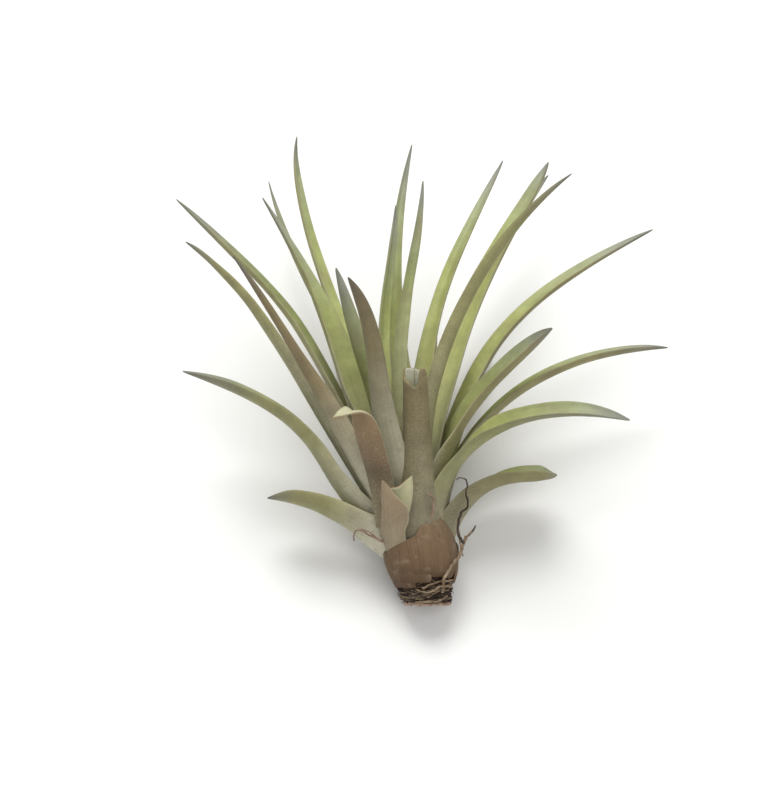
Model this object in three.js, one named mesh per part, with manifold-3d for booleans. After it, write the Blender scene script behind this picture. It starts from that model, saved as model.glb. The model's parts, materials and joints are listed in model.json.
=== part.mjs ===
// An air plant: a short woody stem, a rosette of channelled leaves, dry old sheaths and wiry roots.
// Sizes are millimetres. The plant is modelled standing on its stem, then laid down on its back leaves.
//
// In the standing plant +X is to the right, +Y runs up the stem and +Z faces the front.
// An azimuth is measured round the stem: 0 is the front, 90 the right, 180 the back and -90 the left.

import * as THREE from 'three';
import Module from 'manifold-3d';

const wasm = await Module();
wasm.setup();

// how the plant lies
const lieTilt = 25; // degrees that the stem rises from the surface it lies on
const clearance = 0.3; // gap between pieces that grow against each other

// stem
const stemHeight = 34;
const stemLean = 3.9; // sideways shift of the cut foot from the axis of the rosette
const stemLeanHeight = 25; // height at which the stem has come back to that axis
const footRimRadius = 5;
const stemProfile = [[0, footRimRadius], [2, 5.7], [8, 6.2], [15, 6], [22, 5], [29, 3.5], [stemHeight, 1.4]];
const stemSides = 24;

// leaf sections, by the fraction of the way from foot to tip
const leafThickness = 0.9;
const footHalfAngle = 31; // half of the arc that a leaf foot hugs, in degrees
const widthProfile = [[0.1, 1.7], [0.25, 1.4], [0.5, 1], [0.7, 0.76], [0.85, 0.48], [0.95, 0.22], [1, 0.08]];
const curlProfile = [[0, footHalfAngle], [0.12, 30], [0.25, 46], [0.5, 64], [0.8, 72], [1, 80]];
const thicknessProfile = [[0, 1.1], [0.3, 1], [0.8, 0.8], [1, 0.35]];
const rollProfile = [[0.12, 0], [0.45, 1], [1, 1]];
const leafStations = [0, 0.06, 0.12, 0.2, 0.3, 0.4, 0.5, 0.6, 0.7, 0.8, 0.88, 0.95, 1];
const handle = 0.36; // length of a leaf curve's handles against the distance from foot to tip

// colours of the fresh and the dry parts
const colours = {
  green: '#8f9b5a',
  olive: '#7f7d5a',
  brown: '#7d7058',
  pale: '#a3a37c',
  bark: '#7d6a4e',
  wood: '#57452f',
  root: '#8a6a48',
};

// Leaves. foot is the height where the leaf leaves the stem, lean its angle from the stem there, tip the
// place of its point, tipLean its angle from the stem at the point, and width its breadth half way up.
// roll is how far the blade turns its inner face to the front, rise and fall are the handles of its curve,
// and cut is the fraction that is left of a leaf that was cut off.
const shownLeaves = [
  {
    name: 'leaf_left_lowest', colour: 'olive', azimuth: -85, foot: 11, lean: 55, rise: 0.32, fall: 0.26,
    tip: [-32.3, 24.5, 3], tipLean: 88, width: 6.6, roll: 30,
  },
  {
    name: 'leaf_right_lowest', colour: 'olive', azimuth: 97, foot: 12.6, lean: 18, rise: 0.48, fall: 0.42,
    tip: [33, 29.5, -3], tipLean: 84, width: 6.4, roll: 40,
  },
  {
    name: 'leaf_left_arched', colour: 'green', azimuth: -92, foot: 14.5, lean: 44, rise: 0.42, fall: 0.48,
    tip: [-51.1, 52.5, 4.5], tipLean: 75, width: 5, roll: 25,
  },
  {
    name: 'leaf_right_arched', colour: 'green', azimuth: 57, foot: 14, lean: 7, rise: 0.48, fall: 0.37,
    tip: [48.1, 41.9, 26], tipLean: 107, width: 5.4, roll: 25,
  },
  {
    name: 'leaf_front_folded', colour: 'brown', azimuth: -23, foot: 15, lean: 21,
    tip: [-17, 42.3, 20], tipLean: 110, width: 5.4,
  },
  {
    name: 'leaf_front_cut', colour: 'brown', azimuth: 13, foot: 17, lean: 12,
    tip: [-3, 88, 27], tipLean: 24, width: 5.4, cut: 0.52,
  },
  {
    name: 'leaf_right_level', colour: 'olive', azimuth: 89, foot: 16.5, lean: 4, rise: 0.42,
    tip: [58.4, 58.2, -5], tipLean: 86, width: 4, roll: 22,
  },
  {
    name: 'leaf_left_narrow', colour: 'green', azimuth: -82, foot: 17, lean: 36, rise: 0.48,
    tip: [-50.7, 81.8, 1.5], tipLean: 50, width: 4, roll: 20,
  },
  {
    name: 'leaf_left_front', colour: 'brown', azimuth: -73, foot: 20.5, lean: 34, rise: 0.44, fall: 0.52,
    tip: [-39.4, 77.7, 17], tipLean: 40, width: 4.6,
  },
  {
    name: 'leaf_right_short', colour: 'olive', azimuth: 74, foot: 20, lean: 9, rise: 0.38,
    tip: [32, 62.5, 5], tipLean: 54, width: 4.8, roll: 20,
  },
  {
    name: 'leaf_right_front', colour: 'brown', azimuth: 33, foot: 21.5, lean: 0, rise: 0.42, fall: 0.42,
    tip: [35.7, 96.4, 22], tipLean: 51, width: 3.8,
  },
  {
    name: 'leaf_front_curved', colour: 'brown', azimuth: -30, foot: 22.2, lean: 18, rise: 0.4, fall: 0.2,
    tip: [-14.1, 72.9, 25], tipLean: 72, width: 6.4,
  },
  {
    name: 'leaf_right_long', colour: 'green', azimuth: 108, foot: 23, lean: 6, rise: 0.38, fall: 0.4,
    tip: [55.6, 85.2, -9.7], tipLean: 66, width: 4.4, roll: 22,
  },
  {
    name: 'leaf_left_long', colour: 'green', azimuth: -99, foot: 22, lean: 27, rise: 0.5, fall: 0.52,
    tip: [-53.2, 92.1, -10], tipLean: 47, width: 4.4, roll: 20,
  },
  {
    name: 'leaf_left_hidden', colour: 'green', azimuth: -133, foot: 24, lean: 24,
    tip: [-33.2, 97.1, -26], tipLean: 22, width: 3.2,
  },
  {
    name: 'leaf_right_twin_a', colour: 'green', azimuth: 118, foot: 26.3, lean: 6, rise: 0.31,
    tip: [32, 100.8, -12], tipLean: 32, width: 4,
  },
  {
    name: 'leaf_left_broad', colour: 'green', azimuth: -92, foot: 25.5, lean: 24, rise: 0.44, fall: 0.48,
    tip: [-33.9, 92.3, -8], tipLean: 33, width: 5.6,
  },
  {
    name: 'leaf_right_twin_b', colour: 'green', azimuth: 162, foot: 24, lean: 13,
    tip: [32.2, 99.3, -34], tipLean: 41, width: 3.2,
  },
  {
    name: 'leaf_inner_left', colour: 'olive', azimuth: -54, foot: 27, lean: 22, fall: 0.42,
    tip: [-16.8, 76.1, 5], tipLean: 16, width: 4.4,
  },
  {
    name: 'leaf_left_tall', colour: 'green', azimuth: -123, foot: 29.3, lean: 27, rise: 0.3, fall: 0.2,
    tip: [-26.6, 107.2, -30], tipLean: -8, width: 4.4,
  },
  {
    name: 'leaf_right_tall', colour: 'green', azimuth: 150, foot: 30, lean: 1,
    tip: [21.7, 101.5, -18], tipLean: 33, width: 3.6,
  },
  {
    name: 'leaf_top_right', colour: 'green', azimuth: -62, foot: 32, lean: 4, rise: 0.48, fall: 0.32,
    tip: [3.1, 95.7, -6], tipLean: 8, tipAzimuth: 100, width: 4,
  },
  {
    name: 'leaf_top_left', colour: 'green', azimuth: -136, foot: 31.4, lean: 18, rise: 0.4,
    tip: [-3.2, 91, -12], tipLean: 9, tipAzimuth: 130, width: 3.6,
  },
  {
    name: 'leaf_top_tall', colour: 'green', azimuth: 179, foot: 27.6, lean: 16, rise: 0.34, fall: 0.44,
    tip: [0.4, 105.2, -23], tipLean: 14, tipAzimuth: 108, width: 4,
  },
];

// leaves on the far side, by the place of the tip and its height above the surface that the plant lies on
const backLeaves = [
  {
    name: 'leaf_back_low_right', colour: 'olive', azimuth: 155, foot: 11, lean: 22,
    tip: [12, 36], above: 4, tipLean: 50, width: 4.4,
  },
  {
    name: 'leaf_back_low_left', colour: 'olive', azimuth: -171, foot: 13.2, lean: 24,
    tip: [-11, 40], above: 4, tipLean: 50, width: 4.2,
  },
  {
    name: 'leaf_back_right', colour: 'olive', azimuth: 147, foot: 16.5, lean: 20,
    tip: [19, 58], above: 0, tipLean: 44, width: 4.2,
  },
  {
    name: 'leaf_back_left', colour: 'olive', azimuth: -141, foot: 16.8, lean: 22,
    tip: [-23, 59], above: 0, tipLean: 44, width: 4.2,
  },
  {
    name: 'leaf_back_middle', colour: 'green', azimuth: 177, foot: 18, lean: 20,
    tip: [-3, 69], above: 2, tipLean: 38, width: 4.4,
  },
  {
    name: 'leaf_back_high_right', colour: 'green', azimuth: 164, foot: 22, lean: 16,
    tip: [6, 66], above: 8, tipLean: 34, width: 4.2,
  },
  {
    name: 'leaf_back_high_left', colour: 'green', azimuth: -151, foot: 21, lean: 22,
    tip: [-12, 62], above: 3.5, tipLean: 38, width: 4,
  },
];

// short leaves: the stub of a cut leaf in front and two young leaves in the heart
const shortLeaves = [
  {
    name: 'stub_front', colour: 'pale', azimuth: -18, foot: 12.5, lean: 28,
    tip: [-8, 62, 34], tipLean: 30, width: 4.4, cut: 0.3,
  },
  {
    name: 'young_leaf_front', colour: 'green', azimuth: 40, foot: 33, lean: 4,
    tip: [0.5, 51, 3], tipLean: 4, width: 2.6,
  },
  {
    name: 'young_leaf_back', colour: 'green', azimuth: 178, foot: 33.2, lean: 4,
    tip: [1, 48, -3], tipLean: 4, width: 2.4,
  },
];

// dry sheaths of old leaves that wrap the foot; span is half of the arc that each one covers
const oldSheaths = [
  { name: 'old_sheath_front', azimuth: 40, foot: 3.2, height: 14.2, lean: 11, span: 46, gap: 0.3 },
  { name: 'old_sheath_right', azimuth: 118, foot: 4.6, height: 8.4, lean: 14, span: 28, gap: 0.3 },
  { name: 'old_sheath_left', azimuth: -72, foot: 2.6, height: 8, lean: 8, span: 52, gap: 0.3 },
  { name: 'old_sheath_back', azimuth: 188, foot: 3.4, height: 8, lean: 6, span: 36, gap: 0.3 },
];
const sheathThickness = 0.6;
const sheathOutline = [[0, 0.9], [0.3, 1], [0.6, 0.8], [0.85, 0.4], [1, 0.06]];
const sheathStations = [0, 0.15, 0.3, 0.45, 0.6, 0.75, 0.88, 1];

// wiry roots; each strand has a thickness at both ends and the points that it passes
const roots = [
  {
    name: 'root_forked',
    strands: [
      { thick: 1, thin: 0.7, points: [[7.9, 2.2, 5.2], [9.8, 4.6, 4.6], [11.4, 8.4, 4.2], [12.6, 12.2, 4]] },
      {
        thick: 0.7,
        thin: 0.35,
        points: [
          [12.5, 11.9, 4], [11.7, 14.6, 4.4], [11.8, 17, 4.8], [13, 20.2, 5.2],
          [14.2, 23.8, 5.4], [13.8, 27, 5.2], [11.6, 28.6, 8],
        ],
      },
      { thick: 0.7, thin: 0.3, points: [[12.5, 11.9, 4], [13.8, 13.8, 3.6], [15.4, 16, 3.2]] },
    ],
  },
  {
    name: 'root_across',
    strands: [
      { thick: 0.7, thin: 0.35, points: [[2.4, 1.4, 6.2], [5, 2.6, 6.4], [8, 4.4, 6.2], [9.6, 6.4, 5.2]] },
    ],
  },
  {
    name: 'root_slanting',
    strands: [
      { thick: 0.7, thin: 0.35, points: [[8.4, 1, 4.4], [6.6, 2.8, 7.3], [3.6, 4.4, 7.3], [1, 5.2, 7.2]] },
    ],
  },
  {
    name: 'root_rim',
    strands: [
      { thick: 0.8, thin: 0.4, points: [[1.2, -0.1, 5.2], [3.6, 0.3, 5.9], [6.2, 0.2, 5.6], [8.6, 1.2, 3.6]] },
    ],
  },
  {
    name: 'root_hook',
    strands: [
      { thick: 0.6, thin: 0.3, points: [[6.2, 19.8, 7.6], [6, 21.6, 8.2], [5.7, 23.4, 8.8], [4.7, 24.2, 9]] },
    ],
  },
  {
    name: 'root_left',
    strands: [
      {
        thick: 0.6,
        thin: 0.3,
        points: [[-5.6, 12.4, 5.4], [-8.6, 14, 6], [-11.2, 14.8, 5.8], [-12.6, 13.6, 5], [-12, 11.4, 4.4]],
      },
    ],
  },
  {
    name: 'root_back',
    strands: [
      {
        thick: 0.8,
        thin: 0.4,
        points: [[-0.6, 1.4, -4.6], [-1.5, 4.2, -4.8], [-3.4, 7.8, -5.1], [-4.4, 10.6, -5.6]],
      },
    ],
  },
];
const rootSides = 6;
const rootStep = 1.6; // length of a root between its rings

// a point in the standing plant from its place round the stem
function aroundStem(azimuth, radius, height) {
  const angle = THREE.MathUtils.degToRad(azimuth);
  return new THREE.Vector3(radius * Math.sin(angle), height, radius * Math.cos(angle));
}

// straight lines between [place, value] pairs
function profileAt(profile, place) {
  if (place <= profile[0][0]) return profile[0][1];
  for (let i = 1; i < profile.length; i += 1) {
    const [lastPlace, lastValue] = profile[i - 1];
    const [nextPlace, nextValue] = profile[i];
    if (place <= nextPlace) {
      return THREE.MathUtils.mapLinear(place, lastPlace, nextPlace, lastValue, nextValue);
    }
  }
  return profile[profile.length - 1][1];
}

// how far behind the axis the surface lies that the plant rests on, at a height of the standing plant
function restDepth(height) {
  return -footRimRadius - height * Math.tan(THREE.MathUtils.degToRad(lieTilt));
}

function stemCentre(height) {
  const lean = stemLean * Math.max(0, 1 - height / stemLeanHeight);
  return new THREE.Vector3(lean, height, 0);
}

// a closed skin over rings of points; capTriangles fill the first and the last ring
function loft(rings, capTriangles) {
  const count = rings[0].length;
  const positions = rings.flat().flatMap((point) => point.toArray());
  const indices = [];
  for (let ring = 0; ring + 1 < rings.length; ring += 1) {
    for (let i = 0; i < count; i += 1) {
      const a = ring * count + i;
      const b = ring * count + (i + 1) % count;
      indices.push(a, b, b + count, a, b + count, a + count);
    }
  }
  const last = (rings.length - 1) * count;
  for (const [a, b, c] of capTriangles) {
    indices.push(a, c, b);
    indices.push(last + a, last + b, last + c);
  }
  const geometry = new THREE.BufferGeometry();
  geometry.setAttribute('position', new THREE.Float32BufferAttribute(positions, 3));
  geometry.setIndex(indices);
  geometry.computeVertexNormals();
  return geometry;
}

function fanTriangles(count) {
  return Array.from({ length: count - 2 }, (_, i) => [0, i + 1, i + 2]);
}

function makeStem() {
  const rings = stemProfile.map(([height, radius]) => {
    const centre = stemCentre(height);
    return Array.from({ length: stemSides }, (_, i) => {
      return centre.clone().add(aroundStem((360 * i) / stemSides, radius, 0));
    });
  });
  return loft(rings, fanTriangles(stemSides));
}

// the path of a leaf from its foot on the stem to its tip
function leafCurve(leaf) {
  const tip = new THREE.Vector3(leaf.tip[0], leaf.tip[1], leaf.tip[2] ?? restDepth(leaf.tip[1]) + leaf.above);
  const footRadius = profileAt(stemProfile, leaf.foot) + clearance + leafThickness / 2;
  const foot = stemCentre(leaf.foot).add(aroundStem(leaf.azimuth, footRadius, 0));
  const distance = foot.distanceTo(tip);
  const tipAzimuth = leaf.tipAzimuth ?? THREE.MathUtils.radToDeg(Math.atan2(tip.x - foot.x, tip.z - foot.z));
  const start = headingAt(leaf.azimuth, leaf.lean).multiplyScalar(distance * (leaf.rise ?? handle));
  const end = headingAt(tipAzimuth, leaf.tipLean).multiplyScalar(distance * (leaf.fall ?? handle));
  return new THREE.CubicBezierCurve3(foot, foot.clone().add(start), tip.clone().sub(end), tip);
}

// a direction that leans from the stem towards an azimuth
function headingAt(azimuth, lean) {
  const angle = THREE.MathUtils.degToRad(lean);
  return aroundStem(azimuth, Math.sin(angle), Math.cos(angle));
}

// places across a leaf, -1 and 1 at its margins, on its outer skin and back along its inner skin
const outerPlaces = [-1, -0.5, 0, 0.5, 1];
const innerPlaces = [0.55, 0, -0.55];
const leafCap = [[0, 1, 7], [1, 6, 7], [1, 2, 6], [2, 3, 6], [3, 5, 6], [3, 4, 5]];

function makeLeaf(leaf) {
  const curve = leafCurve(leaf);
  const across = aroundStem(leaf.azimuth + 90, 1, 0);
  const rollSign = -Math.sign(leaf.azimuth);
  const footRadius = profileAt(stemProfile, leaf.foot) + clearance + leafThickness / 2;
  const footBreadth = 2 * footRadius * Math.sin(THREE.MathUtils.degToRad(footHalfAngle));
  const rings = leafStations.map((wholeStation) => {
    const station = wholeStation * (leaf.cut ?? 1);
    const middle = curve.getPoint(station);
    const along = curve.getTangent(station);
    const roll = THREE.MathUtils.degToRad(rollSign * (leaf.roll ?? 0) * profileAt(rollProfile, station));
    const side = across.clone().projectOnPlane(along).normalize().applyAxisAngle(along, roll);
    const inward = new THREE.Vector3().crossVectors(along, side);
    const halfAngle = THREE.MathUtils.degToRad(profileAt(curlProfile, station));
    const blade = leaf.width * profileAt(widthProfile, station);
    const breadth = station < widthProfile[0][0]
      ? THREE.MathUtils.lerp(footBreadth, blade, station / widthProfile[0][0])
      : blade;
    const radius = breadth / 2 / Math.sin(halfAngle);
    const halfThickness = (leafThickness / 2) * profileAt(thicknessProfile, station);
    const skinPoint = (place, skin) => {
      const angle = place * halfAngle;
      const skinRadius = radius - skin * halfThickness * (1 - place * place);
      return middle.clone()
        .addScaledVector(side, skinRadius * Math.sin(angle))
        .addScaledVector(inward, radius - skinRadius * Math.cos(angle));
    };
    return [
      ...outerPlaces.map((place) => skinPoint(place, -1)),
      ...innerPlaces.map((place) => skinPoint(place, 1)),
    ];
  });
  return loft(rings, leafCap);
}

// a bract that wraps the stem and ends in a point
function makeOldSheath(sheath) {
  const rings = sheathStations.map((station) => {
    const height = sheath.foot + station * sheath.height;
    const spread = station * sheath.height * Math.tan(THREE.MathUtils.degToRad(sheath.lean));
    const stemRadius = profileAt(stemProfile, sheath.foot);
    const radius = stemRadius + sheath.gap + sheathThickness / 2 + spread;
    const halfSpan = sheath.span * profileAt(sheathOutline, station);
    const skinPoint = (place, skin) => {
      const skinRadius = radius + skin * (sheathThickness / 2) * (1 - 0.8 * place * place);
      return stemCentre(height).add(aroundStem(sheath.azimuth + place * halfSpan, skinRadius, 0));
    };
    return [
      ...outerPlaces.map((place) => skinPoint(place, 1)),
      ...innerPlaces.map((place) => skinPoint(place, -1)),
    ];
  });
  return loft(rings, leafCap);
}

// a tube that gets thinner along a smooth line through the points
function makeStrand(strand) {
  const curve = new THREE.CatmullRomCurve3(strand.points.map((point) => new THREE.Vector3(...point)));
  const steps = Math.max(3, Math.round(curve.getLength() / rootStep));
  const frames = curve.computeFrenetFrames(steps);
  const rings = frames.tangents.map((_, step) => {
    const centre = curve.getPointAt(step / steps);
    const radius = THREE.MathUtils.lerp(strand.thick, strand.thin, step / steps) / 2;
    return Array.from({ length: rootSides }, (__, side) => {
      const angle = (2 * Math.PI * side) / rootSides;
      return centre.clone()
        .addScaledVector(frames.normals[step], radius * Math.cos(angle))
        .addScaledVector(frames.binormals[step], radius * Math.sin(angle));
    });
  });
  return loft(rings, fanTriangles(rootSides));
}

function toSolid(geometry) {
  const bare = geometry.clone();
  bare.deleteAttribute('normal');
  return new wasm.Manifold(new wasm.Mesh({
    numProp: 3,
    vertProperties: bare.getAttribute('position').array,
    triVerts: new Uint32Array(bare.getIndex().array),
  }));
}

function fromSolid(solid) {
  const mesh = solid.getMesh();
  const geometry = new THREE.BufferGeometry();
  geometry.setAttribute('position', new THREE.Float32BufferAttribute(mesh.vertProperties, mesh.numProp));
  geometry.setIndex(Array.from(mesh.triVerts));
  geometry.computeVertexNormals();
  return geometry;
}

function makeRoot(root) {
  const strands = root.strands.map((strand) => toSolid(makeStrand(strand)));
  return fromSolid(strands.reduce((whole, strand) => whole.add(strand)));
}

function makeMaterial(colour, roughness) {
  return new THREE.MeshStandardMaterial({ color: colours[colour], roughness, metalness: 0 });
}

const plant = new THREE.Group();

function addPiece(name, geometry, material) {
  const mesh = new THREE.Mesh(geometry, material);
  mesh.name = name;
  plant.add(mesh);
}

addPiece('stem', makeStem(), makeMaterial('wood', 0.9));
for (const leaf of [...shownLeaves, ...backLeaves, ...shortLeaves]) {
  addPiece(leaf.name, makeLeaf(leaf), makeMaterial(leaf.colour, 0.7));
}
for (const sheath of oldSheaths) {
  addPiece(sheath.name, makeOldSheath(sheath), makeMaterial('bark', 0.8));
}
for (const root of roots) {
  addPiece(root.name, makeRoot(root), makeMaterial('root', 0.85));
}

// laid down on its back leaves, with the middle of its box over the origin and its lowest point at zero
plant.rotation.x = THREE.MathUtils.degToRad(lieTilt);
plant.updateMatrixWorld(true);
const box = new THREE.Box3().setFromObject(plant, true);
const middle = box.getCenter(new THREE.Vector3());
plant.position.set(-middle.x, -middle.y, -box.min.z);

export default plant;
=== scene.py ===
import json
import math
import random
import bpy
from mathutils import Matrix, Quaternion, Vector, noise


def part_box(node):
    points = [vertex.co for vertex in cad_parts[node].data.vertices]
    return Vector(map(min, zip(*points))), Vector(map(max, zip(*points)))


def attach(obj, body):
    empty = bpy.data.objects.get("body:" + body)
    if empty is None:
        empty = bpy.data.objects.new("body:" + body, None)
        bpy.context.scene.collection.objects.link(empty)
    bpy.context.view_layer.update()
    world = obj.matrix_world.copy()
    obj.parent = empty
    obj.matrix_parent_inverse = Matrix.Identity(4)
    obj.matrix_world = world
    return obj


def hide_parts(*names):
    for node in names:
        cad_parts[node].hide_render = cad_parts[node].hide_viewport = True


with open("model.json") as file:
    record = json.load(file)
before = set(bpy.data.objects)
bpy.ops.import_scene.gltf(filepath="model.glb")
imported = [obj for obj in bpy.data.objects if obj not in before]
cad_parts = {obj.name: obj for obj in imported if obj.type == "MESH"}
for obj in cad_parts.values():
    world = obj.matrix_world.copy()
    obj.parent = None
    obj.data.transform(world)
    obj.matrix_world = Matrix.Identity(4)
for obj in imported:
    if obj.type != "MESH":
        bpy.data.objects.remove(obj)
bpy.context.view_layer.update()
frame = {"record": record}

# The plant is shaped as it stands, in millimetres, with +X to its right, +Y up the stem and +Z to its
# front. An azimuth is measured round the stem, with 0 at the front, 90 at the right and 180 at the back.
# laid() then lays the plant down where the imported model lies.

scene = bpy.context.scene
random.seed(7)

plant = {
    "lieTilt": 25,  # degrees that the stem rises from the floor
    "stemLean": 3.9,  # sideways shift of the cut foot
    "stemLeanHeight": 25,  # the height at which the stem is back in the middle
    "stemProfile": [(0, 5), (2, 5.7), (8, 6.2), (15, 6), (22, 5), (29, 3.5), (34, 1.4)],  # height, radius
    "stemWidest": (2, 5.7),  # height and radius where the stem reaches furthest to the right
    "footRimRadius": 5,
    "clearance": 0.3,  # between the stem and the leaves on it
    "leafThickness": 0.9,
}
lieAngle = math.radians(plant["lieTilt"])
tiltTurn = Matrix.Rotation(lieAngle, 3, "X")
stemLow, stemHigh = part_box("stem")
widestHeight, widestRadius = plant["stemWidest"]
widestX = plant["stemLean"] * (1 - widestHeight / plant["stemLeanHeight"]) + widestRadius
stemFoot = Vector((
    stemHigh.x * 1000 - widestX,
    stemLow.y * 1000 + plant["footRimRadius"] * math.sin(lieAngle),
    stemLow.z * 1000 + plant["footRimRadius"] * math.cos(lieAngle),
))


def laid(point):  # from the standing plant in mm to the floor in metres
    return (tiltTurn @ Vector(point) + stemFoot) / 1000


def aroundStem(azimuth, radius, height):
    angle = math.radians(azimuth)
    return Vector((radius * math.sin(angle), height, radius * math.cos(angle)))


def headingAt(azimuth, lean):
    angle = math.radians(lean)
    return aroundStem(azimuth, math.sin(angle), math.cos(angle))


def stemCentre(height):
    return Vector((plant["stemLean"] * max(0, 1 - height / plant["stemLeanHeight"]), height, 0))


def restDepth(height):  # how far behind the axis the floor lies
    return -plant["footRimRadius"] - height * math.tan(lieAngle)


def profileAt(profile, place):  # a smooth line through (place, value) pairs
    if place <= profile[0][0]:
        return profile[0][1]
    if place >= profile[-1][0]:
        return profile[-1][1]
    k = next(i for i in range(len(profile) - 1) if place <= profile[i + 1][0])

    def slope(i):
        if i == 0 or i == len(profile) - 1:
            return None
        before = (profile[i][1] - profile[i - 1][1]) / (profile[i][0] - profile[i - 1][0])
        after = (profile[i + 1][1] - profile[i][1]) / (profile[i + 1][0] - profile[i][0])
        return 0 if before * after <= 0 else 2 * before * after / (before + after)

    width = profile[k + 1][0] - profile[k][0]
    rise = profile[k + 1][1] - profile[k][1]
    startSlope = slope(k) if slope(k) is not None else rise / width
    endSlope = slope(k + 1) if slope(k + 1) is not None else rise / width
    t = (place - profile[k][0]) / width
    return (profile[k][1] * (2 * t ** 3 - 3 * t ** 2 + 1) + profile[k + 1][1] * (3 * t ** 2 - 2 * t ** 3)
            + width * (startSlope * (t ** 3 - 2 * t ** 2 + t) + endSlope * (t ** 3 - t ** 2)))


def linear(hexColour):  # sRGB hex to the linear colour that a shader takes
    parts = [int(hexColour[i:i + 2], 16) / 255 for i in (1, 3, 5)]
    return tuple(p / 12.92 if p <= 0.04045 else ((p + 0.055) / 1.055) ** 2.4 for p in parts) + (1,)


# An input is a value, or the (node, output) that feeds it. A MapRange takes 1 to 2 and gives 3 to 4, and
# a Mix of colours has its factor at 0, its colours at 6 and 7, and its result at output 2.
def addNode(tree, kind, settings, inputs):
    node = tree.nodes.new("ShaderNode" + kind)
    for name, value in settings.items():
        setattr(node, name, value)
    for name, value in inputs.items():
        if isinstance(value, tuple) and isinstance(value[0], bpy.types.Node):
            tree.links.new(value[0].outputs[value[1]], node.inputs[name])
        else:
            node.inputs[name].default_value = value
    return node


def newSurface(name):
    material = bpy.data.materials.new(name)
    material.use_nodes = True
    return material, material.node_tree, material.node_tree.nodes["Principled BSDF"]


def fillRamp(ramp, stops):
    while len(ramp.elements) < len(stops):
        ramp.elements.new(0.5)
    for element, (place, colour) in zip(ramp.elements, stops):
        element.position = place
        element.color = linear(colour) if isinstance(colour, str) else (colour, colour, colour, 1)


def deselectAll():
    if bpy.context.object and bpy.context.object.mode != "OBJECT":
        bpy.ops.object.mode_set(mode="OBJECT")
    bpy.ops.object.select_all(action="DESELECT")


def makeActive(piece):
    deselectAll()
    piece.select_set(True)
    bpy.context.view_layer.objects.active = piece


def applyModifiers(piece):
    makeActive(piece)
    for modifier in list(piece.modifiers):
        bpy.ops.object.modifier_apply(modifier=modifier.name)


slotOf = {part["node"]: part["material_slot"] for part in frame["record"]["subparts"]}


def handOver(piece, name, extraSlot=None):  # it replaces the node of that name, or it is an extra piece
    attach(piece, "root")
    slotOf.get(name, extraSlot)
    if name in slotOf:
        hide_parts(name)


# "low" and "high" run from the foot of the leaf to its tip, and the tone of a face goes from the first to
# the second.
leafFaces = {
    "outer": {  # grey-green, browner with its tone
        "low": [(0, "#8f8971"), (0.12, "#8d8769"), (0.28, "#8f8b65"), (0.48, "#92925f"), (0.8, "#929262"),
                (0.92, "#898870"), (1, "#6b6e68")],
        "high": [(0, "#857d64"), (0.12, "#80785c"), (0.24, "#7f7658"), (0.38, "#7f7150"),
                 (0.86, "#796a49"), (0.95, "#6e6658"), (1, "#595652")],
        "scales": 0.16, "spots": 0.25, "flakes": 0.5, "roughness": 0.6, "sheen": 0.1,
    },
    "inner": {  # the fresher green of the channel
        # Low on the leaf these ramps are lighter: partly the paler foot of the leaf, partly painted light
        # that lifts the shade among the feet of the leaves.
        "low": [(0, "#bdb998"), (0.12, "#b7b68a"), (0.3, "#a3a76d"), (0.6, "#93995f"), (0.84, "#929874"),
                (0.94, "#8b8d7c"), (1, "#70746d")],
        "high": [(0, "#c4c09e"), (0.12, "#c0c18e"), (0.3, "#b2b673"), (0.6, "#a3a963"), (0.84, "#a0a67b"),
                 (0.94, "#959888"), (1, "#757975")],
        "scales": 0.12, "spots": 0.12, "flakes": 0.12, "roughness": 0.5, "sheen": 0.08,
    },
    "brown": {  # the browned outer face of the older leaves at the front
        "low": [(0, "#756c56"), (0.08, "#7f785f"), (0.2, "#7e7759"), (0.3, "#6f674b"), (0.42, "#6f6546"),
                (0.7, "#7c7051"), (0.9, "#74684f"), (1, "#5f574c")],
        # The high ramp serves mostly the folded leaf: the dark band round 0.185 is painted shade where its
        # bent-over flap lies over its lower part, and the lighter stops from 0.3 on are painted light on
        # the top of its fold.
        "high": [(0, "#7d7258"), (0.15, "#75694c"), (0.185, "#5f4f38"), (0.205, "#78634a"),
                 (0.3, "#937a59"), (0.38, "#a18a63"), (1, "#a18a63")],
        "scales": 0.1, "spots": 0.2, "flakes": 0.26, "roughness": 0.62, "sheen": 0.08,
    },
    "green": {  # the greener outer face of the young leaves
        "low": [(0, "#a5a380"), (0.12, "#9c9d70"), (0.3, "#8c915d"), (0.6, "#808852"), (0.84, "#868b68"),
                (0.94, "#85877a"), (1, "#70746d")],
        "high": [(0, "#8d8369"), (0.14, "#8f8764"), (0.3, "#8a895a"), (0.6, "#868556"), (0.84, "#85836a"),
                 (0.94, "#7f7f74"), (1, "#6a6b66")],
        "scales": 0.14, "spots": 0.12, "flakes": 0.1, "roughness": 0.56, "sheen": 0.08,
    },
    "tan": {  # the drying outer face of the stub
        "low": [(0, "#84725b"), (0.1, "#89775c"), (0.2, "#92795c"), (1, "#8f7c5d")],
        "high": [(0, "#84725b"), (0.1, "#89775c"), (0.2, "#92795c"), (1, "#8f7c5d")],
        "scales": 0.16, "spots": 0.1, "flakes": 0.12, "roughness": 0.62, "sheen": 0.08,
    },
    "pale": {  # the unripened inner face that a cut lays open
        "low": [(0, "#b6b38f"), (0.25, "#bbb894"), (0.4, "#b7b594"), (0.47, "#cccbb6"), (1, "#d6d5c4")],
        "high": [(0, "#b6b38f"), (0.25, "#bdb992"), (0.4, "#bab78f"), (0.47, "#cfceb4"), (1, "#d8d7c2")],
        "scales": 0.06, "spots": 0.05, "flakes": 0.05, "roughness": 0.6, "sheen": 0.05,
    },
}
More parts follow.
